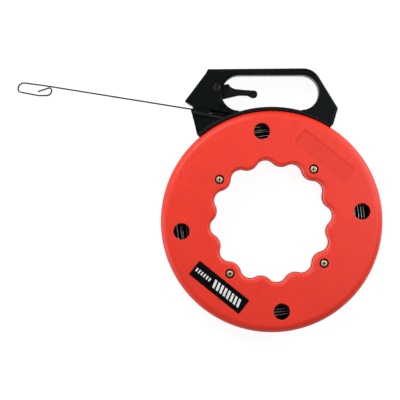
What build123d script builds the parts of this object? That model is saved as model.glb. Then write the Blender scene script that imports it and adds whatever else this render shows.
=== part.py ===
from build123d import *
import os
from math import acos, atan2, cos, degrees, hypot, radians, sin

# Fish tape reel: a flat spring-steel tape wound inside a two-shell plastic case, which turns on a
# slip ring that is fixed to a grip handle. A finger lever in the grip presses the tape to an anvil.
# Millimetres. The origin is on the case's axis, in the plane of its rear face. +Z is the case's
# axis, out of the front face, +Y points from the axis to the grip, and the tape leaves to -X.

# ---- case ----
case_radius = 120.0
case_depth = 36.0
mid = case_depth / 2            # parting plane of the case, the handle and the tape
case_wall = 2.5
rim_round = 8.0
skirt_wall = 3.0
skirt_gap = 9.0                 # the slot round the rim that the slip ring's web runs in
first_lobe = 6.3                # angle of the first finger lobe and of the first window

# ---- hand hole: twelve finger lobes made of tangent arcs ----
lobe_count = 12
hole_outer = 67.3               # radius to the bottom of a lobe
hole_inner = 60.6               # radius to the crest between two lobes
lobe_radius = 11.5
hub_wall = 3.0
shadow_line = 0.6               # height of the groove where the two hubs meet
hub_lip = 0.6                   # the rear shell's hub stands this much further in
hub_round = 3.8

# ---- features of the case's front face ----
window_radius = 8.8
window_circle = 97.9
screw_circle = 72.2
pocket_size = (69.2, 19.2)
pocket_circle = 91.0
pocket_depth = 0.8
counterbore = (5.1, 2.8)        # radius, depth
drum_radius = 79.2              # the wall that the tape is wound on
drum_wall = 1.6

# ---- slip ring and its shoe ----
ring_inner = 112.0
ring_flange = 16.0              # depth of the flange behind the skirts
ring_clearance = 0.6
shoe_outer = 124.0
shoe_depth = 28.8
shoe_angles = (57.9, 130.5)
tongue_depth = 8.0
tongues = ((124.0, 134.0, 130.0), (66.0, 138.0, 132.0))   # angle, top radius, screw radius

# ---- tape ----
tape_thickness = 1.5
tape_width = 3.2
tape_slope = 9.12               # degrees that the tape rises towards the left
tape_offset = 106.6             # distance from the axis to the line that the tape leaves on
coil_inner = 80.0               # radius of the first turn's middle line
coil_half_turns = 16
coil_growth = 1.51              # added to the radius at each half turn
coil_depth = 10.2               # three layers of tape side by side

# ---- handle ----
handle_depth = 26.0
cheek_rise = 1.2
handle_wall = 2.0
grip_round = 2.4
opening_chamfer = 1.2
foot_radius = shoe_outer + 0.1
opening_left = (-35.0, 139.0, 19.2)      # x, y, radius of the grip opening's ends
opening_right = (32.5, 139.5, 18.8)
handle_points = [
    (-79.8, 90.6), (-83.9, 107.8), (-87.4, 120.8), (-84.9, 122.8), (-85.8, 125.0),
    (-89.0, 126.7), (-93.9, 130.0), (-71.2, 160.2), (-68.9, 164.8), (45.2, 165.8),
    (71.8, 122.6), (65.2, 99.8),
]
handle_corners = {9: 20.0, 10: 2.5, 3: 0.8, 2: 0.8}
cheek_points = [
    (-91.4, 130.3), (-70.3, 159.1), (-68.1, 163.4), (-53.4, 163.4), (-53.0, 160.4), (-43.5, 155.2),
    (-43.5, 129.0), (-50.5, 126.3), (-58.2, 124.6), (-58.0, 120.0), (-67.8, 121.2),
    (-83.0, 123.4), (-84.3, 126.3), (-87.8, 128.2),
]
strip_points = [
    (-86.0, 119.6), (-84.8, 117.0), (-51.6, 110.6), (-54.2, 113.4), (-67.4, 115.4), (-80.0, 119.0),
]
pocket_points = [(-83.3, 115.4), (-54.0, 109.7), (-60.0, 100.0), (-80.3, 96.5), (-82.1, 107.5)]
patch_points = [(-57.0, 123.4), (-50.6, 124.8), (-41.5, 119.6), (-44.5, 117.6), (-56.8, 119.3)]

# ---- lever ----
pivot = (-59.3, 144.9)
lever_travel = 9.0
lever_depth = 11.4
lever_points = [
    (-75.6, 131.5), (-66.6, 148.2), (-63.0, 152.0), (-56.5, 152.0), (-52.2, 148.3), (-46.4, 149.2),
    (-44.6, 146.2), (-40.5, 143.8), (-31.0, 142.8), (-20.4, 142.1), (-15.2, 141.9), (-15.2, 133.9),
    (-21.0, 133.8), (-26.0, 136.4), (-35.0, 136.6), (-44.0, 134.6), (-52.4, 132.6), (-57.5, 135.6),
]
lever_corners = {
    2: 4.0, 3: 6.0, 4: 3.5, 5: 3.5, 6: 3.0, 7: 1.2, 8: 1.5, 9: 10.0, 10: 20.0, 12: 3.6, 13: 3.6,
    14: 2.0, 15: 4.0, 16: 12.0, 17: 12.0, 18: 4.0, 19: 4.0,
}
pad_grip_x = -69.0              # where the pad meets the tape when the lever is squeezed
pad_size = (10.0, 3.0, 8.0)
rivet_radius = 2.0
bush_radius = 3.0
boss_radius = 3.1
spring_wire = 0.8
spring_radius = 3.85
spring_hook = (pivot[0] - 8.6, pivot[1] - 4.6)     # where one leg goes into the lever
spring_rest = (-70.2, 148.6)                       # where the other leg meets the block's wall
stop_place = (-72.47, 140.77)
running = 0.3                   # clearance beside a moving piece

handle_low = mid - handle_depth / 2
handle_high = mid + handle_depth / 2
lever_low = mid - lever_depth / 2
lever_high = mid + lever_depth / 2
tape_start = (tape_offset * sin(radians(tape_slope)), tape_offset * cos(radians(tape_slope)))
coil_start = first_lobe + 15 + degrees(atan2(4.6, coil_inner))      # where the tape's tail comes in
coil_last_arc = 90 - tape_slope - coil_start                        # up to where the tape leaves


# ---------------------------------------------------------------- helpers

def polar(radius, angle):
    return (radius * cos(radians(angle)), radius * sin(radians(angle)))


def tape_point(distance, above=0.0):
    """A point this far along the tape from its tangent point, and this far above its middle."""
    way = (-cos(radians(tape_slope)), sin(radians(tape_slope)))
    up = (sin(radians(tape_slope)), cos(radians(tape_slope)))
    return tuple(tape_start[i] + distance * way[i] + above * up[i] for i in (0, 1))


def tape_distance(x):
    return (tape_start[0] - x) / cos(radians(tape_slope))


def turned(point, angle, centre=pivot):
    """The point turned by angle degrees about centre."""
    dx, dy = point[0] - centre[0], point[1] - centre[1]
    c, s = cos(radians(angle)), sin(radians(angle))
    return (centre[0] + c * dx - s * dy, centre[1] + s * dx + c * dy)


def outline(points, corners=None):
    """A flat face through the points, with the corners that are named rounded to a radius."""
    face = make_face(Polyline(*points, close=True))
    for index, radius in (corners or {}).items():
        target = Vector(*points[index])
        corner = face.vertices().sort_by_distance(target)[0]
        face = fillet(corner, radius)
    return face


def slab(face, low, high):
    """The face, drawn on the XY plane, made solid between two heights."""
    return Pos(0, 0, low) * extrude(face, high - low)


def disc(radius, low, high, at=(0.0, 0.0)):
    upright = (Align.CENTER, Align.CENTER, Align.MIN)
    return Pos(at[0], at[1], low) * Cylinder(radius, high - low, align=upright)


def tube(outer, inner, low, high, at=(0.0, 0.0)):
    return disc(outer, low, high, at) - disc(inner, low - 1, high + 1, at)


def sector(outer, inner, low, high, start, end):
    """Part of a tube, between two angles less than 180 degrees apart."""
    reach = outer / cos(radians((end - start) / 2)) + 1
    wedge = outline([(0, 0), polar(reach, start), polar(reach, end)])
    return tube(outer, inner, low, high) & slab(wedge, low - 1, high + 1)


def along_tape(start, end, low_side, high_side, low, high):
    """A straight bar beside the tape: between two distances, two offsets and two heights."""
    corners = [
        tape_point(start, low_side), tape_point(end, low_side),
        tape_point(end, high_side), tape_point(start, high_side),
    ]
    return slab(outline(corners), low, high)


def four(shape_at, start):
    """The shapes that a function makes at four angles, a quarter turn apart."""
    return [shape_at(start + 90 * k) for k in range(4)]


def pan_screw(at, head_z, length, head_radius, head_height, radius, upward=False):
    """A pan-head cross-recess screw whose head's top is at head_z and whose shank goes down."""
    head = Cylinder(head_radius, head_height, align=(Align.CENTER, Align.CENTER, Align.MAX))
    head = fillet(head.edges().filter_by(GeomType.CIRCLE).sort_by(Axis.Z)[-1], head_height * 0.55)
    shank = Pos(0, 0, -head_height) * Cylinder(
        radius, length, align=(Align.CENTER, Align.CENTER, Align.MAX))
    shank = chamfer(shank.edges().filter_by(GeomType.CIRCLE).sort_by(Axis.Z)[0], radius * 0.6)
    arm = Pos(0, 0, -head_height * 0.32) * Box(head_radius * 1.2, head_radius * 0.3, head_height)
    recess = arm + Rot(0, 0, 90) * arm
    screw = head + shank - recess
    if upward:
        screw = Rot(180, 0, 0) * screw
    return Pos(at[0], at[1], head_z) * screw


# ---------------------------------------------------------------- case

def scallops(grow=0.0):
    """The hand hole's outline, grown outwards: finger lobes and the crests between them."""
    pitch = 360 / lobe_count
    lobe_centre = hole_outer - lobe_radius
    reach = 2 * lobe_centre * cos(radians(pitch / 2))
    top = lobe_centre**2 + hole_inner**2 - reach * hole_inner - lobe_radius**2
    crest_radius = top / (reach + 2 * lobe_radius - 2 * hole_inner)
    crest_centre = hole_inner + crest_radius
    share = (lobe_radius + grow) / (lobe_radius + crest_radius)

    def tangent_point(lobe_angle, crest_angle):
        a, b = polar(lobe_centre, lobe_angle), polar(crest_centre, crest_angle)
        return (a[0] + (b[0] - a[0]) * share, a[1] + (b[1] - a[1]) * share)

    edges = []
    for k in range(lobe_count):
        lobe = first_lobe + pitch * k
        before, after = lobe - pitch / 2, lobe + pitch / 2
        start, end = tangent_point(lobe, before), tangent_point(lobe, after)
        following = tangent_point(lobe + pitch, after)
        edges.append(ThreePointArc(start, polar(hole_outer + grow, lobe), end))
        edges.append(ThreePointArc(end, polar(hole_inner + grow, after), following))
    return make_face(edges)


def plain_shell():
    """The rear half of the case without its hand hole: face, rounded rim, skirt and drum wall."""
    skirt_top = mid - skirt_gap / 2
    inside = case_radius - skirt_wall
    points = [
        (40, 0), (case_radius, 0), (case_radius, skirt_top), (inside, skirt_top),
        (inside, case_wall), (40, case_wall),
    ]
    profile = outline(points, {1: rim_round, 4: rim_round - skirt_wall + 0.5})
    shell = revolve(Plane.XZ * profile, Axis.Z)
    return shell + tube(drum_radius, drum_radius - drum_wall, case_wall - 0.5, mid)


def hub(low, high, lip):
    return slab(scallops(hub_wall), low, high) - slab(scallops(-lip), low - 1, high + 1)


def open_hand_hole(shell, face_z, lip):
    """Cuts the hand hole and rounds its edge in the outer face."""
    shell = shell - slab(scallops(-lip), -1, case_depth + 1)
    rim = shell.edges().filter_by(
        lambda e: abs(e.center().Z - face_z) < 0.01 and hypot(e.center().X, e.center().Y) < 70)
    return fillet(rim, hub_round)


def make_rear_shell():
    shell = plain_shell() + hub(0.0, mid, hub_lip)
    for at in four(lambda a: polar(screw_circle, a), first_lobe + 45):
        shell += disc(4.6, case_wall - 0.5, mid, at)
    shell = open_hand_hole(shell, 0.0, hub_lip)
    for at in four(lambda a: polar(screw_circle, a), first_lobe + 45):
        shell -= disc(2.0, 6.0, mid + 1, at)
    # The post that the tape's inner end is clamped to, and the slot that it comes in by.
    shell += disc(3.6, case_wall - 0.5, anchor_top, anchor_place)
    shell -= disc(1.5, 7.0, mid, anchor_place)
    shell -= tail_slot()
    return shell


def make_front_shell():
    shell = Pos(0, 0, case_depth) * (Rot(180, 0, 0) * plain_shell())
    shell += hub(mid, case_depth, 0.0)
    for at in four(lambda a: polar(screw_circle, a), first_lobe + 45):
        shell += disc(6.8, case_depth - 7.0, case_depth - 1.0, at)
        shell += disc(4.6, mid, case_depth - 5.0, at)
    shell = open_hand_hole(shell, case_depth, 0.0)
    shell -= slab(scallops(1.0), mid - 1, mid + shadow_line)
    for at in four(lambda a: polar(screw_circle, a), first_lobe + 45):
        bore = disc(2.2, mid - 1, case_depth + 1, at)
        shell -= bore + disc(counterbore[0], case_depth - counterbore[1], case_depth + 1, at)
    for at in four(lambda a: polar(window_circle, a), first_lobe):
        shell -= disc(window_radius, case_depth - case_wall - 1, case_depth + 1, at)
    for angle in (first_lobe + 45, first_lobe + 225):
        shell -= pocket_block(angle, pocket_size, case_depth - pocket_depth, case_depth + 1)
    shell -= tail_slot()
    soft = shell.edges().filter_by(GeomType.CIRCLE).filter_by(
        lambda e: abs(e.center().Z - case_depth) < 0.01
        and (abs(e.radius - window_radius) < 0.01 or abs(e.radius - counterbore[0]) < 0.01))
    return fillet(soft, 0.7)


def pocket_block(angle, size, low, high):
    """A rounded rectangle, its long side across the radius at this angle."""
    block = slab(RectangleRounded(size[1], size[0], 1.2), low, high)
    return Rot(0, 0, angle) * Pos(pocket_circle, 0, 0) * block


def make_case_screws():
    top = case_depth - counterbore[1] + 2.3
    return four(lambda a: pan_screw(polar(screw_circle, a), top, 24.0, 3.6, 2.3, 2.0), first_lobe + 45)


def make_front_label():
    size = (pocket_size[0] - 0.8, pocket_size[1] - 0.8)
    low = case_depth - pocket_depth
    return pocket_block(first_lobe + 225, size, low, low + 0.4)


# ---------------------------------------------------------------- wound tape

def tail_frame(shape):
    """Places a shape drawn with x along the radius beside the tape's clamp post."""
    return Rot(0, 0, first_lobe + 15) * Pos(0, 4.6, 0) * shape


def tail_slot():
    slot = Pos(78.4, 0, mid) * Box(5.0, 2.4, tape_width + 1.0)
    return tail_frame(slot)


def spiral_side(offset):
    """One side of the wound tape: half circles that grow outwards, then a last short arc."""
    arcs = []
    for k in range(coil_half_turns + 1):
        centre = (coil_growth if k % 2 else 0.0, 0.0)
        radius = coil_inner + coil_growth * k + offset
        sweep_angle = 180.0 if k < coil_half_turns else coil_last_arc
        arcs.append(CenterArc(centre, radius, 180.0 * (k % 2), sweep_angle))
    return arcs


def make_tape_coil():
    """The wound tape as one spiral, with the inner end that goes through the drum wall."""
    outer, inner = spiral_side(tape_thickness / 2), spiral_side(-tape_thickness / 2)
    caps = [Line(outer[0] @ 0, inner[0] @ 0), Line(outer[-1] @ 1, inner[-1] @ 1)]
    spiral = slab(make_face(outer + inner + caps), mid - coil_depth / 2, mid + coil_depth / 2)
    tail = Pos(75.6, 0, mid) * Box(9.4, tape_thickness, tape_width)
    return Rot(0, 0, coil_start) * spiral + tail_frame(tail)


anchor_place = polar(71.0, first_lobe + 15)
anchor_top = mid - 4.0


def make_anchor_clip():
    """A steel channel on the post that holds the tape's inner end between its walls."""
    side = tape_thickness / 2 + 0.05
    wall_height = mid + tape_width / 2 - anchor_top
    plate = Pos(71.0, side + 1.0, anchor_top) * Box(
        6.4, 9.8, 1.0, align=(Align.CENTER, Align.MAX, Align.MIN))
    wall = Box(6.4, 1.0, wall_height, align=(Align.CENTER, Align.MIN, Align.MIN))
    walls = Pos(71.0, side, anchor_top) * wall + Pos(71.0, -side - 1.0, anchor_top) * wall
    return tail_frame(plate + walls) - disc(1.6, anchor_top - 1, anchor_top + 1.5, anchor_place)


def make_anchor_screw():
    return pan_screw(anchor_place, anchor_top + 2.9, 7.0, 2.7, 1.9, 1.5)


# ---------------------------------------------------------------- slip ring

def make_slip_ring():
    start, end = shoe_angles
    skirt_inside = case_radius - skirt_wall
    web_half = skirt_gap / 2 - ring_clearance
    flange_outer = skirt_inside - ring_clearance
    ring = tube(flange_outer, ring_inner, mid - ring_flange / 2, mid + ring_flange / 2)
    ring += tube(case_radius - 0.8, ring_inner, mid - web_half, mid + web_half)
    ring += sector(shoe_outer - 1, ring_inner, mid - web_half, mid + web_half, start, end)
    shoe = sector(
        shoe_outer, case_radius + ring_clearance, mid - shoe_depth / 2, mid + shoe_depth / 2, start, end)
    ring += fillet(shoe.edges().filter_by(
        lambda e: abs(abs(e.center().Z - mid) - shoe_depth / 2) < 0.01
        and hypot(e.center().X, e.center().Y) > shoe_outer - 3), 0.8)
    for angle, top, bore in tongues:
        block = Pos((shoe_outer - 2 + top) / 2, 0, mid) * Box(top - shoe_outer + 2, 9.0, tongue_depth)
        block = fillet(block.edges().filter_by(Axis.Z).sort_by(Axis.X)[-2:], 3.0)
        block -= Pos(bore, 0, mid) * Cylinder(1.9, tongue_depth + 2)
        ring += Rot(0, 0, angle) * block
    return ring - along_tape(20, 75, -1.5, 1.5, mid - 2.4, mid + 2.4)


# ---------------------------------------------------------------- handle

def handle_face():
    face = outline(handle_points, handle_corners)
    left = Pos(opening_left[0], opening_left[1]) * Circle(opening_left[2])
    right = Pos(opening_right[0], opening_right[1]) * Circle(opening_right[2])
    between = outline([
        (opening_left[0], opening_left[1] + opening_left[2]),
        (opening_right[0], opening_right[1] + opening_right[2]),
        (opening_right[0], 100), (opening_left[0], 100),
    ])
    return face - left - right - between - Circle(foot_radius)


def lever_cavity(low, high):
    """The room in the left block that the lever's hub and arm turn in."""
    walls = outline([
        tape_point(tape_distance(-79.6), -1.1), (-80.4, 129.5), (-70.5, 149.5), (-66.5, 154.5),
        (-52.0, 154.5), (-52.0, 131.0), (-57.4, 127.4), tape_point(tape_distance(-61.5), -1.1),
    ])
    bulkhead = disc(opening_left[2] + 2.5, low, high, opening_left[:2])
    return slab(walls, low, high) - bulkhead


def lever_slot():
    """The way out of the cavity into the grip opening."""
    low, high = lever_low - running, lever_high + running
    return slab(outline([(-62, 130.4), (-44, 129.0), (-44, 152.6), (-62, 153.6)]), low, high)


def leg_rooms(low, high):
    """The hollows of the two legs, where the slip ring's tongues stand."""
    left = outline([
        tape_point(tape_distance(-82.4), -5.0), tape_point(tape_distance(-57.0), -5.0),
        (-57.0, 106.0), (-77.6, 95.0), (-80.3, 107.5),
    ])
    right = outline([(53.3, 145.5), (68.3, 122.8), (64.2, 108.0), (44.0, 106.0), (44.0, 124.0)])
    keep_foot = disc(foot_radius + handle_wall, low - 1, high + 1)
    keep_opening = disc(opening_right[2] + 2.4, low - 1, high + 1, opening_right[:2])
    return slab(left, low, high) + slab(right, low, high) - keep_foot - keep_opening


screw_places = [polar(t[2], t[0]) for t in tongues] + [(-62.4, 158.6), (-83.2, 134.2)]


def handle_half(front):
    """Half of the handle, drawn as the front half. The rear half is the same, turned over."""
    top = handle_high
    body = slab(handle_face(), mid, top)
    body = round_handle(body, top)
    body -= lever_cavity(mid - 1, top - handle_wall)
    body -= leg_rooms(mid - 1, top - 2 * handle_wall)
    body -= lever_slot()
    body += cheek(top)
    body -= disc(spring_radius + 0.9, lever_high, top - handle_wall, pivot)
    body += disc(boss_radius, lever_high + running, top - 1, pivot)
    body -= disc(rivet_radius + 0.02, mid - 1, top + 5, pivot)
    for at in screw_places[:2]:
        body += disc(3.4, mid + tongue_depth / 2 + 0.2, top - 2 * handle_wall + 0.5, at)
    body -= along_tape(50, 125, -2.0, 2.0, mid - 1, mid + 3.0)
    body -= bush_seat() + anvil_seat()
    body -= disc(1.5, mid - 1, top - handle_wall + 1.0, stop_place)
    body -= foot_slots()
    body -= slab(outline(pocket_points, {0: 1.5, 4: 2.0}), top - handle_wall, top + 1) - disc(
        foot_radius + 2.0, top - 5, top + 2)
    body -= slab(outline(patch_points, {0: 1.0}), top - 1.6, top + 1)
    if front:
        strip = slab(outline(strip_points), top - 0.5, top + cheek_rise)
        body += strip - disc(foot_radius, top - 1, top + 2)
        body -= tape_window(mid - 1, top + 5)
    return body


def round_handle(body, top):
    """Rounds the outer face's edges round the grip and its opening. The left block stays crisp."""
    def in_opening(edge):
        place = edge.center()
        return abs(place.Z - top) < 0.01 and -56 < place.X < 52.5 and 125 < place.Y < 160

    def on_grip(edge):
        place = edge.center()
        outside = hypot(place.X, place.Y) > foot_radius + 1 and not in_opening(edge)
        return abs(place.Z - top) < 0.01 and place.X > -20 and outside

    body = fillet(body.edges().filter_by(on_grip), grip_round)
    return chamfer(body.edges().filter_by(in_opening), opening_chamfer)


def cheek(top):
    face = outline(cheek_points, {0: 1.0, 2: 1.5, 3: 1.0})
    face -= Pos(opening_left[0], opening_left[1]) * Circle(opening_left[2] + 1.0)
    plate = slab(face, top - 0.5, top + cheek_rise)
    return chamfer(plate.edges().group_by(Axis.Z)[-1], 0.5)


def tape_window(low, high):
    return along_tape(56, tape_distance(-67.5), -2.2, 2.0, low, high)


def bush_seat():
    return along_tape(98.4, 120.0, -3.6, 3.6, mid - 5.0, mid + 5.0)


def anvil_seat():
    return along_tape(tape_distance(-63.5), 98.4, -3.2, -1.1, mid - 6.1, mid + 6.1)


def foot_slots():
    """Clearance for the tongues where they pass through the foot of each leg."""
    slot = Pos(126.0, 0, mid) * Box(8.0, 9.6, tongue_depth + 0.6)
    first, second = [Rot(0, 0, tongue[0]) * slot for tongue in tongues]
    return first + second


def make_handle_front():
    body = handle_half(True)
    for at in screw_places:
        body -= disc(1.75, mid - 1, mid + 9.4, at)
    return body


def make_handle_rear():
    body = mirror(handle_half(False), about=Plane.XY.offset(mid))
    for at in screw_places:
        body -= disc(1.95, 0, mid + 1, at) + disc(3.6, 0, handle_low + 3.2, at)
    return body


def make_handle_screws():
    return [pan_screw(at, handle_low + 0.8, 19.0, 3.3, 2.4, 1.75, upward=True) for at in screw_places]


# ---------------------------------------------------------------- lever and brake

def pad_corners(squeezed_gap=0.25):
    """The pad's four corners at rest: on the tape when squeezed, then turned back."""
    half = pad_size[0] / 2
    middle = tape_distance(pad_grip_x)
    low = tape_thickness / 2 + squeezed_gap
    spots = [(middle - half, low), (middle + half, low),
             (middle + half, low + pad_size[1]), (middle - half, low + pad_size[1])]
    return [turned(tape_point(*spot), -lever_travel) for spot in spots]


def make_lever():
    """The arm's end that holds the pad, then round the hub, along the finger and back."""
    right_low, left_low, left_high, right_high = pad_corners()
    lever = slab(outline([right_high, left_high] + lever_points, lever_corners), lever_low, lever_high)
    lever = fillet(lever.edges().filter_by(
        lambda e: min(abs(e.center().Z - lever_low), abs(e.center().Z - lever_high)) < 0.01), 1.5)
    lever -= disc(bush_radius, lever_low - 1, lever_high + 1, pivot)
    lever -= disc(0.7, lever_high - 3.0, lever_high + 1, spring_hook)
    # The dovetail that holds the pad.
    return lever - pad_key()


def pad_key():
    """The pad's rib, which sits in a groove of the arm's end."""
    right_low, left_low, left_high, right_high = [Vector(*c) for c in pad_corners()]
    along = (left_high - right_high).normalized()
    up = (right_high - right_low).normalized()
    middle = (left_high + right_high) * 0.5
    half = 2.0
    spots = [middle - along * half - up * 0.5, middle + along * half - up * 0.5,
             middle + along * (half + 0.8) + up * 2.0, middle - along * (half + 0.8) + up * 2.0]
    return slab(outline([(p.X, p.Y) for p in spots]), mid - pad_size[2] / 2, mid + pad_size[2] / 2)


def make_brake_pad():
    body = slab(outline(pad_corners()), mid - pad_size[2] / 2, mid + pad_size[2] / 2)
    return body + pad_key()


def make_pivot_bush():
    return tube(bush_radius, rivet_radius + 0.06, lever_low - 0.1, lever_high + 0.1, pivot)


def make_rivet():
    """A tubular rivet through both cheeks, with a domed head and a rolled end."""
    head_high, head_low = handle_high + cheek_rise + 0.6, handle_low - cheek_rise - 0.6
    shank = disc(rivet_radius, head_low, head_high, pivot)
    head = fillet(Cylinder(3.8, 1.4, align=(Align.CENTER, Align.CENTER, Align.MIN)).edges().filter_by(
        GeomType.CIRCLE).sort_by(Axis.Z)[-1], 1.0)
    front = Pos(pivot[0], pivot[1], head_high) * head
    rear = Pos(pivot[0], pivot[1], head_low) * (Rot(180, 0, 0) * head)
    dimple = Pos(pivot[0], pivot[1], head_high + 1.6) * Sphere(1.5)
    return shank + front + rear - dimple


def make_rivet_washers():
    high, low = handle_high + cheek_rise, handle_low - cheek_rise
    return [tube(4.6, rivet_radius + 0.02, high, high + 0.6, pivot),
            tube(4.6, rivet_radius + 0.02, low - 0.6, low, pivot)]


def rod(start, end, radius):
    start, end = Vector(*start), Vector(*end)
    along = end - start
    aligned = (Align.CENTER, Align.CENTER, Align.MIN)
    return Plane(origin=start, z_dir=along) * Cylinder(radius, along.length, align=aligned)


def leaving_angle(target, forwards):
    """The angle on the spring's coil where a straight leg leaves it for the target."""
    dx, dy = target[0] - pivot[0], target[1] - pivot[1]
    swing = degrees(acos(spring_radius / hypot(dx, dy)))
    return degrees(atan2(dy, dx)) + (-swing if forwards else swing)


def make_lever_spring():
    """A torsion spring round the front boss: one leg in the lever, one against the block's wall."""
    radius, low, pitch = spring_wire / 2, lever_high + running + 0.6, 0.95
    first, last = leaving_angle(spring_hook, False), leaving_angle(spring_rest, True)
    turns = (last - first) / 360 % 1 + 3
    path = Helix(pitch=pitch, height=turns * pitch, radius=spring_radius)
    wire = Plane(origin=path @ 0, z_dir=path % 0) * Circle(radius)
    coil = Pos(pivot[0], pivot[1], low) * Rot(0, 0, first) * sweep(wire, path=path)
    ends = [tuple(pivot[i] + polar(spring_radius, a)[i] for i in (0, 1)) for a in (first, last)]
    high = low + turns * pitch
    hook, rest = (*spring_hook, low), (*spring_rest, high)
    legs = rod((*ends[0], low), hook, radius) + rod((*ends[1], high), rest, radius)
    legs += rod(hook, (*spring_hook, lever_high - 2.4), radius) + Pos(*hook) * Sphere(radius)
    knuckles = Pos(*ends[0], low) * Sphere(radius) + Pos(*ends[1], high) * Sphere(radius)
    return coil + legs + knuckles


def make_stop_pin():
    """The pin that the arm rests on, above the arm, held in both halves."""
    return disc(1.5, handle_low + handle_wall - 1.0, handle_high - handle_wall + 1.0, stop_place)


def make_anvil():
    start = tape_distance(-63.7)
    return along_tape(start, 98.2, -3.1, -tape_thickness / 2 - 0.4, mid - 6.0, mid + 6.0)


def make_exit_bush():
    body = along_tape(98.6, 102.4, -3.5, 3.5, mid - 4.9, mid + 4.9)
    body = fillet(body.edges().filter_by(Axis.Z).sort_by(Axis.X)[:2], 1.2)
    return body - along_tape(90, 115, -1.3, 1.3, mid - 2.2, mid + 2.2)


# ---------------------------------------------------------------- free end of the tape

tape_route = [
    tape_start, tape_point(tape_distance(-247.0)), (-275.2, 151.2), (-275.2, 140.9), (-252.7, 136.6),
    (-238.9, 136.9), (-238.9, 145.8), (-253.8, 141.1),
]
tape_bends = [60.0, 6.3, 3.6, 30.0, 5.3, 2.4]


def make_tape_end():
    path = FilletPolyline(*tape_route, radius=tape_bends)
    ribbon = trace(path, tape_thickness)
    return slab(ribbon, mid - tape_width / 2, mid + tape_width / 2)


# ---------------------------------------------------------------- export

def export_node(name, shape):
    if isinstance(shape, list):
        shape = Compound(children=shape)
    export_step(shape, f"parts/{name}.step")


def main():
    os.makedirs("parts", exist_ok=True)
    nodes = {
        "front_shell": make_front_shell,
        "rear_shell": make_rear_shell,
        "case_screws": make_case_screws,
        "front_label": make_front_label,
        "tape_coil": make_tape_coil,
        "tape_anchor_clip": make_anchor_clip,
        "anchor_screw": make_anchor_screw,
        "slip_ring": make_slip_ring,
        "handle_front": make_handle_front,
        "handle_rear": make_handle_rear,
        "handle_screws": make_handle_screws,
        "lever_rivet": make_rivet,
        "rivet_washers": make_rivet_washers,
        "lever_spring": make_lever_spring,
        "lever_stop_pin": make_stop_pin,
        "brake_anvil": make_anvil,
        "tape_exit_bush": make_exit_bush,
        "brake_lever": make_lever,
        "lever_bush": make_pivot_bush,
        "brake_pad": make_brake_pad,
        "tape_end": make_tape_end,
    }
    for name, make in nodes.items():
        export_node(name, make())


main()
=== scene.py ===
import math

import bpy
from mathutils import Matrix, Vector


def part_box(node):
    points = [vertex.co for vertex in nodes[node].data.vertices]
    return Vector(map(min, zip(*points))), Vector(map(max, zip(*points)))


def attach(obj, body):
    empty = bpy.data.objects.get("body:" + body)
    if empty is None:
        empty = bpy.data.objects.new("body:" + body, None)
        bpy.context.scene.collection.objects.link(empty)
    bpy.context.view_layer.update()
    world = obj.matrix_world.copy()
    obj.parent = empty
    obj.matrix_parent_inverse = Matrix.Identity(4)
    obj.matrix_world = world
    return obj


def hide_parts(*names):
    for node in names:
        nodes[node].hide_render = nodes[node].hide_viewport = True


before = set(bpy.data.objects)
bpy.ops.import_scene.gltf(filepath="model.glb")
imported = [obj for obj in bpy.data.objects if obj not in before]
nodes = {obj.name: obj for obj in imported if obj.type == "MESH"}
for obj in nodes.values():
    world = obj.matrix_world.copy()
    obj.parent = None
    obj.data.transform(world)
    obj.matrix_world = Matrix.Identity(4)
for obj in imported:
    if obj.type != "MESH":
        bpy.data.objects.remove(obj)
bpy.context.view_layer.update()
scene = bpy.context.scene

# ---------------------------------------------------------------- camera

VIEW_CENTRE = Vector((-0.0775, 0.0232, 0.036))      # the point of the front face that is in mid picture
VIEW_DISTANCE = 2.0
VIEW_WIDTH = 0.4311
SENSOR_WIDTH = 36.0

camera_data = bpy.data.cameras.new("camera")
camera_data.sensor_width = SENSOR_WIDTH
camera_data.lens = SENSOR_WIDTH * VIEW_DISTANCE / VIEW_WIDTH
camera = bpy.data.objects.new("camera", camera_data)
camera.location = VIEW_CENTRE + Vector((0, 0, VIEW_DISTANCE))
scene.collection.objects.link(camera)
scene.camera = camera

# ---------------------------------------------------------------- places in the CAD model, in metres

MIDDLE = 0.018              # height of the plane where the halves of the case and of the handle meet
CASE_INSIDE = 0.0158        # from that plane to the inner side of the case's faces
HUB_WALL = 0.0700           # radius just outside the wall round the hand hole
SKIRT_INSIDE = 0.1172       # radius just outside the inner side of the skirt
RIM_START = 0.1120          # radius where the rounded rim begins
HUB_SHADE_BAND = (0.0174, 0.0013)                 # height and half width of the band of painted shade between the hubs
POCKET_FLOOR = (0.0352, 0.0003)             # height and tolerance of the pocket floors, painted in shade
POCKET_RADII = (0.0790, 0.1100)
SCREW_CIRCLE = 0.0722
SCREW_TURN = math.radians(51.3)
COUNTERBORE = 0.00525       # radius just outside a counterbore's wall
COUNTERBORE_TOP = 0.0357
SCREW_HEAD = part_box("case_screws")[1].z
SCREW_RECESS = 0.0004       # depth below a head's top from which the screw is painted in shade
ACROSS_TAPE = (0.1585, 0.9874, 0)           # direction across the line that the tape leaves on
RIB_HEIGHT = 0.0313
RIB_EDGE = 0.1075           # the handle's raised rib ends at this distance in that direction

# ---------------------------------------------------------------- painted shade, painted light and tints

RIM_SCALE = 50.0            # depth times this runs along the ramp of the rim's painted shade
RIM_SHADE_RAMP = (0.52, 0.76, 0.62, 1.0)          # its two places and its two greys of painted shade
# tint of the painted shade on the band between the hubs
HUB_SHADE_TINT = (0.22, 0.20, 0.25)
# tint of the painted shade on the pocket floors
POCKET_SHADE_TINT = (0.93, 0.86, 0.86)
# tint of the painted shade in the counterbores
COUNTERBORE_SHADE_TINT = (0.28, 0.12, 0.12)
# painted light on the handle's rib beside the tape
RIB_LIGHT_COLOUR = (0.013, 0.017, 0.016)
# painted shade in the case screws' recesses and on their heads' sides
RECESS_SHADE_COLOUR = (0.07, 0.05, 0.03)

# ---------------------------------------------------------------- material tools


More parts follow.
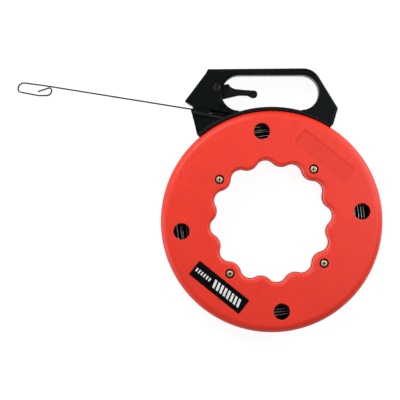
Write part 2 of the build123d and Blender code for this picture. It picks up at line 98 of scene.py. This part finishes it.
def new_material(name, colour, roughness, metallic=0.0):
    """A Principled material with its node tree and its shader."""
    material = bpy.data.materials.new(name)
    material.use_nodes = True
    tree = material.node_tree
    shader = tree.nodes["Principled BSDF"]
    shader.inputs["Base Color"].default_value = (*colour, 1)
    shader.inputs["Roughness"].default_value = roughness
    shader.inputs["Metallic"].default_value = metallic
    return material, tree, shader


def add_node(tree, kind, inputs=None, **settings):
    node = tree.nodes.new(kind)
    for key, value in settings.items():
        setattr(node, key, value)
    for key, value in (inputs or {}).items():
        if isinstance(value, bpy.types.NodeSocket):
            tree.links.new(value, node.inputs[key])
        else:
            node.inputs[key].default_value = value
    return node


def place_in_frame(tree):
    return add_node(tree, "ShaderNodeTexCoord").outputs["Object"]


def height_of(tree, place):
    return add_node(tree, "ShaderNodeSeparateXYZ", {"Vector": place}).outputs["Z"]


def noise(tree, place, scale, detail=3.0):
    inputs = {"Vector": place, "Scale": scale, "Detail": detail, "Roughness": 0.6}
    return add_node(tree, "ShaderNodeTexNoise", inputs).outputs["Fac"]


def ramp(tree, factor, low, high, low_colour, high_colour):
    """A two-stop ramp from one grey or colour to another."""
    made = add_node(tree, "ShaderNodeValToRGB", {"Fac": factor})
    ends = made.color_ramp.elements
    for end, at, colour in ((ends[0], low, low_colour), (ends[1], high, high_colour)):
        end.position = at
        end.color = (*colour, 1) if isinstance(colour, tuple) else (colour, colour, colour, 1)
    return made.outputs["Color"]


def mix(tree, factor, first, second, blend="MIX"):
    made = tree.nodes.new("ShaderNodeMix")
    made.data_type = "RGBA"
    made.blend_type = blend
    for socket, value in ((made.inputs[0], factor), (made.inputs[6], first), (made.inputs[7], second)):
        if isinstance(value, bpy.types.NodeSocket):
            tree.links.new(value, socket)
        elif isinstance(value, tuple):
            socket.default_value = (*value, 1)
        else:
            socket.default_value = value
    return made.outputs[2]


def math_node(tree, operation, first, second=0.0):
    made = tree.nodes.new("ShaderNodeMath")
    made.operation = operation
    for socket, value in ((made.inputs[0], first), (made.inputs[1], second)):
        if isinstance(value, bpy.types.NodeSocket):
            tree.links.new(value, socket)
        else:
            socket.default_value = value
    return made.outputs[0]


def vector_node(tree, operation, first, second=None):
    values = {0: first} if second is None else {0: first, 1: second}
    return add_node(tree, "ShaderNodeVectorMath", values, operation=operation).outputs


def more_than(tree, value, limit):
    return math_node(tree, "GREATER_THAN", value, limit)


def less_than(tree, value, limit):
    return math_node(tree, "LESS_THAN", value, limit)


def near(tree, value, target, reach):
    """One where the value is within reach of the target, and zero elsewhere."""
    found = math_node(tree, "COMPARE", value, target)
    found.node.inputs[2].default_value = reach
    return found


def both(tree, first, second):
    return math_node(tree, "MULTIPLY", first, second)


def between(tree, value, low, high):
    return both(tree, more_than(tree, value, low), less_than(tree, value, high))


def off_middle(tree, height):
    """The distance from the plane where the halves meet."""
    return math_node(tree, "ABSOLUTE", math_node(tree, "SUBTRACT", height, MIDDLE))


def bump(tree, shader, height, distance, strength, below=None):
    made = add_node(tree, "ShaderNodeBump", {"Height": height, "Distance": distance, "Strength": strength})
    if below is not None:
        tree.links.new(below, made.inputs["Normal"])
    tree.links.new(made.outputs["Normal"], shader.inputs["Normal"])
    return made.outputs["Normal"]


def dress(name, material):
    slots = nodes[name].data.materials
    slots.clear()
    slots.append(material)


# ---------------------------------------------------------------- painted shade on the case, painted light and a seam on the handle


def from_screw(tree, place):
    """The distance from the nearest of the four case screws, seen along the reel's axis."""
    turn = {"Vector": place, "Angle": math.radians(45) - SCREW_TURN}
    turned = add_node(tree, "ShaderNodeVectorRotate", turn, rotation_type="Z_AXIS").outputs["Vector"]
    folded = vector_node(tree, "ABSOLUTE", turned)["Vector"]
    flat = vector_node(tree, "MULTIPLY", folded, (1, 1, 0))["Vector"]
    middle = SCREW_CIRCLE * math.sqrt(0.5)
    return vector_node(tree, "DISTANCE", flat, (middle, middle, 0))["Value"]


def shade_case(tree, place, paint, inner):
    """Painted shade on the case: its inside near black, and softer shade on its rim, the band between the
    hubs, pockets and counterbores.
    """
    split = add_node(tree, "ShaderNodeSeparateXYZ", {"Vector": place}).outputs
    height = split["Z"]
    radius = math_node(tree, "SQRT", math_node(
        tree, "ADD",
        math_node(tree, "MULTIPLY", split["X"], split["X"]),
        math_node(tree, "MULTIPLY", split["Y"], split["Y"])))
    depth = off_middle(tree, height)

    # painted shade: the case's inside is coloured near black
    painted_dark_inside = both(tree, less_than(tree, depth, CASE_INSIDE), between(tree, radius, HUB_WALL, SKIRT_INSIDE))
    paint = mix(tree, painted_dark_inside, paint, inner)

    # painted shade on the rim, darker towards the plane where the halves meet
    rim = ramp(tree, math_node(tree, "MULTIPLY", depth, RIM_SCALE), *RIM_SHADE_RAMP)
    paint = mix(tree, more_than(tree, radius, RIM_START), paint, mix(tree, 1.0, paint, rim, "MULTIPLY"))

    # painted shade: a dark band on the rear hub's top, where the halves meet
    hub_shade = both(tree, near(tree, height, *HUB_SHADE_BAND), less_than(tree, radius, HUB_WALL))
    paint = mix(tree, hub_shade, paint, HUB_SHADE_TINT, "MULTIPLY")

    # painted shade on the pocket floors
    pocket_shade = both(tree, near(tree, height, *POCKET_FLOOR), between(tree, radius, *POCKET_RADII))
    paint = mix(tree, pocket_shade, paint, POCKET_SHADE_TINT, "MULTIPLY")

    # painted shade in the counterbores round the case screws
    bore_shade = both(
        tree, less_than(tree, from_screw(tree, place), COUNTERBORE), less_than(tree, height, COUNTERBORE_TOP))
    return mix(tree, bore_shade, paint, COUNTERBORE_SHADE_TINT, "MULTIPLY")


def paint_rib_light(tree, place, paint):
    """The handle's raised rib beside the tape, painted a little lighter than the rest as painted light."""
    across = vector_node(tree, "DOT_PRODUCT", place, ACROSS_TAPE)["Value"]
    # painted light: the rib's top is coloured lighter than the rest of the handle
    rib = both(
        tree, more_than(tree, height_of(tree, place), RIB_HEIGHT), less_than(tree, across, RIB_EDGE))
    return mix(tree, rib, paint, RIB_LIGHT_COLOUR)


def cut_seam(tree, shader, place, grained):
    """The fine line where the halves of the handle meet, over the grain."""
    millimetres = math_node(tree, "MULTIPLY", off_middle(tree, height_of(tree, place)), 1000.0)
    bump(tree, shader, ramp(tree, millimetres, 0.10, 0.45, 0.0, 1.0), 0.0003, 1.0, grained)


def moulded_plastic(name, colour, roughness, grain, mottle, gloss=0.5, inner=None, seam=False):
    """Spark-eroded moulding with a fine grain and slightly uneven gloss and colour.

    The case gets painted shade on its inside, rim, hub band, pockets and counterbores, and the handle gets a
    seam groove and painted light on its rib.
    """
    material, tree, shader = new_material(name, colour, roughness)
    shader.inputs["Specular IOR Level"].default_value = gloss
    place = place_in_frame(tree)
    fine = noise(tree, place, 900.0, 2.0)
    broad = noise(tree, place, 28.0, 4.0)
    speckle = noise(tree, place, 620.0, 2.0)
    low = tuple(c * (1 - mottle) for c in colour)
    high = tuple(min(1.0, c * (1 + mottle)) for c in colour)
    paint = mix(tree, ramp(tree, broad, 0.3, 0.7, 0.0, 1.0), low, high)
    dull = ramp(tree, speckle, 0.35, 0.65, 1 - 2.4 * mottle, 1.0)
    paint = mix(tree, 1.0, paint, dull, "MULTIPLY")
    # painted shade on the case, starting from the near-black colour of its inside
    if inner is not None:
        paint = shade_case(tree, place, paint, inner)
    if seam:
        paint = paint_rib_light(tree, place, paint)
    tree.links.new(paint, shader.inputs["Base Color"])
    uneven = ramp(tree, speckle, 0.3, 0.7, roughness - 0.05, roughness + 0.06)
    tree.links.new(uneven, shader.inputs["Roughness"])
    grained = bump(tree, shader, fine, 0.00006, grain)
    if seam:
        cut_seam(tree, shader, place, grained)
    return material


def steel(name, dark, bright, roughness, streaks=(1.0, 1.0, 1.0), scale=400.0, shade_below=None):
    """Bare or plated steel with fine rolling streaks, and painted shade below a height if one is given."""
    material, tree, shader = new_material(name, bright, roughness, 1.0)
    place = place_in_frame(tree)
    stretched = add_node(tree, "ShaderNodeMapping", {"Vector": place, "Scale": streaks}).outputs["Vector"]
    lines = noise(tree, stretched, scale, 4.0)
    cloud = noise(tree, place, 90.0)
    shade = mix(tree, ramp(tree, lines, 0.3, 0.7, 0.0, 1.0), dark, bright)
    shade = mix(tree, 0.35, shade, ramp(tree, cloud, 0.3, 0.7, 0.6, 1.0), "MULTIPLY")
    if shade_below is not None:
        shade = mix(tree, less_than(tree, height_of(tree, place), shade_below), shade, RECESS_SHADE_COLOUR)
    tree.links.new(shade, shader.inputs["Base Color"])
    uneven = ramp(tree, cloud, 0.3, 0.7, roughness - 0.06, roughness + 0.1)
    tree.links.new(uneven, shader.inputs["Roughness"])
    bump(tree, shader, lines, 0.00002, 0.4)
    return material


# ---------------------------------------------------------------- materials

# inner is the near-black colour painted on the case's inside as shade
red = moulded_plastic("red_plastic", (0.86, 0.031, 0.010), 0.50, 0.5, 0.05, inner=(0.012, 0.006, 0.006))
black = moulded_plastic("black_plastic", (0.0030, 0.0047, 0.0050), 0.36, 0.35, 0.12, 0.11, seam=True)
ring_black = moulded_plastic("ring_plastic", (0.0052, 0.0060, 0.0064), 0.42, 0.3, 0.12, 0.16)
lever_black = moulded_plastic("lever_plastic", (0.0058, 0.0076, 0.0080), 0.34, 0.3, 0.12, 0.16)
nylon = moulded_plastic("black_nylon", (0.016, 0.017, 0.018), 0.34, 0.2, 0.1)
# the case screws are painted in shade below their heads' tops
case_zinc = steel(
    "case_screw_zinc", (0.66, 0.54, 0.30), (0.92, 0.84, 0.62), 0.50, shade_below=SCREW_HEAD - SCREW_RECESS)
zinc = steel("zinc_screw", (0.66, 0.52, 0.26), (0.95, 0.86, 0.62), 0.50)
rivet = steel("rivet_steel", (0.016, 0.014, 0.012), (0.055, 0.046, 0.040), 0.48)
bright = steel("bright_steel", (0.40, 0.41, 0.42), (0.66, 0.67, 0.68), 0.30)
tape = steel("tape_steel", (0.02, 0.02, 0.022), (0.085, 0.085, 0.09), 0.42, (0.15, 1.0, 1.0), 900.0)
# copies of the tape's steel for the wound coil: one painted lighter as lit, one painted darker as in shade
tape_lit_edge = steel("tape_lit_edge", (0.30, 0.30, 0.31), (0.55, 0.55, 0.57), 0.50)
tape_shaded = steel("tape_shaded", (0.008, 0.008, 0.009), (0.02, 0.02, 0.022), 0.45)
brass = steel("bush_brass", (0.55, 0.40, 0.16), (0.80, 0.63, 0.30), 0.30)
rubber = moulded_plastic("pad_rubber", (0.016, 0.016, 0.016), 0.75, 0.6, 0.15)
film = moulded_plastic("label_film", (0.003, 0.003, 0.0035), 0.28, 0.1, 0.1, 0.15)
ink = moulded_plastic("label_ink", (0.82, 0.82, 0.80), 0.45, 0.15, 0.04)

for name, material in {
    "front_shell": red, "rear_shell": red, "case_screws": case_zinc, "front_label": film,
    "tape_anchor_clip": bright, "anchor_screw": zinc, "slip_ring": ring_black,
    "handle_front": black, "handle_rear": black, "handle_screws": zinc, "lever_rivet": rivet,
    "rivet_washers": rivet, "lever_spring": bright, "lever_stop_pin": bright,
    "brake_anvil": bright, "tape_exit_bush": nylon, "brake_lever": lever_black,
    "lever_bush": brass, "brake_pad": rubber, "tape_end": tape, "tape_coil": tape_shaded,
}.items():
    dress(name, material)


# ---------------------------------------------------------------- mesh tools


def mesh_piece(name, points, faces, materials, face_material=None, smooth=True):
    mesh = bpy.data.meshes.new(name)
    mesh.from_pydata(points, [], faces)
    for material in materials:
        mesh.materials.append(material)
    if face_material:
        mesh.polygons.foreach_set("material_index", face_material)
    mesh.polygons.foreach_set("use_smooth", [smooth] * len(mesh.polygons))
    mesh.update()
    piece = bpy.data.objects.new(name, mesh)
    scene.collection.objects.link(piece)
    return piece


# ---------------------------------------------------------------- the wound tape

COIL_LOW = 0.0803           # radius of the innermost turn's middle line
COIL_HIGH = 0.1037          # radius that the outermost turn's middle line reaches
COIL_END = math.radians(80.55)              # angle of the outer end
TAPE_THICK = 0.0014         # drawn 0.1 mm under the real 1.5 by 3.2 mm
TAPE_WIDE = 0.0031
TAPE_BEVEL = 0.00028
LAYERS = ((10, 0.01450), (7, 0.02150), (10, 0.01800))       # turns and height, in winding order
TURNS = sum(turns for turns, height in LAYERS)
PER_TURN = 96               # sections drawn in one turn
FRONT_LAYER = 1             # the one behind the windows, wound inwards and more loosely
FRONT_LOOSE = 2.2
WANDER = ((0.00030, 0.41, 1.3, 0.0), (0.00010, 1.63, 0.0, 0.7))     # size, pace, shift by layer, shift
FADE = 8                    # the wander fades over one part in eight at a layer's ends
STEP_OVER = 0.25            # part of a turn in which the tape steps over to the next layer
FRONT_SIDE = 5              # side of the section that faces the windows
EDGE, FLAT, DIM_EDGE = 0, 1, 2              # places in the piece's materials: painted light, painted shade and the tape's own colour


def coil_point(turn):
    """The middle of the tape after so many turns: radius, angle, height and layer."""
    first, layer = 0, 0
    while layer < len(LAYERS) - 1 and turn >= first + LAYERS[layer][0]:
        first += LAYERS[layer][0]
        layer += 1
    turns, height = LAYERS[layer]
    along = (turn - first) / turns
    across = along if layer != FRONT_LAYER else 1 - along
    angle = COIL_END + 2 * math.pi * (turn - TURNS)
    loose = FRONT_LOOSE if layer == FRONT_LAYER else 1.0
    wander = sum(
        size * loose * math.sin(pace * angle + by_layer * layer + shift)
        for size, pace, by_layer, shift in WANDER)
    fade = min(1.0, FADE * along, FADE * (1 - along))
    radius = COIL_LOW + (COIL_HIGH - COIL_LOW) * across + wander * fade
    step = min(1.0, (turn - first) / STEP_OVER) if layer else 1.0
    step = step * step * (3 - 2 * step)
    before = LAYERS[max(0, layer - 1)][1]
    return radius, angle, before + (height - before) * step, layer


def wound_tape():
    count = PER_TURN * TURNS + 1
    half, wide = TAPE_THICK / 2, TAPE_WIDE / 2
    inner, low = half - TAPE_BEVEL, wide - TAPE_BEVEL
    section = [
        (-half, -low), (-inner, -wide), (inner, -wide), (half, -low),
        (half, low), (inner, wide), (-inner, wide), (-half, low),
    ]
    sides = len(section)
    points, faces, kinds = [], [], []
    for k in range(count):
        radius, angle, height, layer = coil_point(k / PER_TURN)
        for out, up in section:
            points.append(((radius + out) * math.cos(angle), (radius + out) * math.sin(angle), height + up))
        if k:
            # the front layer's window side is painted lit, the other layers' window sides keep the tape's own
            # colour, and every other face is painted in shade
            edge = EDGE if layer == FRONT_LAYER else DIM_EDGE
            for j in range(sides):
                a, b = (k - 1) * sides + j, (k - 1) * sides + (j + 1) % sides
                faces.append((a, b, b + sides, a + sides))
                kinds.append(edge if j == FRONT_SIDE else FLAT)
    faces.append(tuple(reversed(range(sides))))
    faces.append(tuple(range((count - 1) * sides, count * sides)))
    kinds += [FLAT, FLAT]
    piece = mesh_piece("wound_tape", points, faces, [tape_lit_edge, tape_shaded, tape], kinds)
    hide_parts("tape_coil")
    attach(piece, "reel")


wound_tape()

# ---------------------------------------------------------------- the label's print

LABEL_TURN = math.radians(231.3)
LABEL_RADIUS = 0.0910
BARS = (8, -0.0085, 0.0047, 0.0028, 0.0044, 0.0025)         # count, start, step, width, half height, slant
TICKS = (6, -0.0315, 0.0035, 0.0017, 0.0021, 0.0)
PRINT_HEIGHTS = (0.000005, 0.00006)         # the ink's underside and top, above the film


def label_point(along, out, height):
    """A place on the label: along its length, out from its middle, and the height."""
    ray = Vector((math.cos(LABEL_TURN), math.sin(LABEL_TURN), 0))
    side = Vector((-ray.y, ray.x, 0))
    return ray * (LABEL_RADIUS + out) + side * along + Vector((0, 0, height))


def label_marks(count, start, step, wide, half, slant):
    """A row of equal four-cornered marks."""
    marks = []
    for k in range(count):
        at = start + step * k
        marks.append([(at, -half), (at + wide, -half), (at + wide + slant, half), (at + slant, half)])
    return marks


def label_print():
    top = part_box("front_label")[1].z
    points, faces = [], []
    for mark in label_marks(*BARS) + label_marks(*TICKS):
        first = len(points)
        size = len(mark)
        for height in PRINT_HEIGHTS:
            points += [label_point(along, out, top + height) for along, out in mark]
        faces.append(tuple(range(first + size, first + 2 * size)))
        for j in range(size):
            after = (j + 1) % size
            faces.append((first + j, first + after, first + size + after, first + size + j))
    piece = mesh_piece("label_print", points, faces, [ink], smooth=False)
    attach(piece, "reel")


label_print()

# ---------------------------------------------------------------- floor and light

FLOOR_REACH = 4
FLOOR_HEIGHT = -0.0004
FLOOR_CORNERS = ((-1, -1), (1, -1), (1, 1), (-1, 1))

floor_material, tree, shader = new_material("floor_paper", (0.12, 0.12, 0.12), 0.85)
paper = noise(tree, place_in_frame(tree), 40.0)
tree.links.new(ramp(tree, paper, 0.3, 0.7, 0.13, 0.15), shader.inputs["Base Color"])
shader.inputs["Emission Color"].default_value = (1, 1, 1, 1)
shader.inputs["Emission Strength"].default_value = 0.92
floor = mesh_piece(
    "floor", [(x * FLOOR_REACH, y * FLOOR_REACH, FLOOR_HEIGHT) for x, y in FLOOR_CORNERS], [(0, 1, 2, 3)],
    [floor_material], smooth=False)


def area_light(name, place, size, power):
    """A round lamp that is aimed at the middle of the case's rear face."""
    data = bpy.data.lights.new(name, "AREA")
    data.shape = "DISK"
    data.size = size
    data.energy = power
    light = bpy.data.objects.new(name, data)
    light.location = place
    light.rotation_euler = (-Vector(place)).to_track_quat("-Z", "Y").to_euler()
    scene.collection.objects.link(light)


area_light("key_light", (-0.46, 0.52, 0.62), 0.45, 5.1)
area_light("right_light", (0.35, 0.10, 0.65), 0.25, 1.65)
area_light("left_wall", (-1.3, -0.25, 0.38), 0.8, 6)
area_light("right_wall", (1.15, 0.60, 0.40), 0.8, 9.5)
area_light("front_fill", (0.1, -1.4, 0.8), 0.9, 1)
area_light("back_light", (0.2, 2.0, 1.6), 1.2, 2)

world = bpy.data.worlds.new("studio")
world.use_nodes = True
world.node_tree.nodes["Background"].inputs["Color"].default_value = (1, 1, 1, 1)
world.node_tree.nodes["Background"].inputs["Strength"].default_value = 0.10
scene.world = world
scene.view_settings.view_transform = "Standard"
scene.view_settings.look = "None"
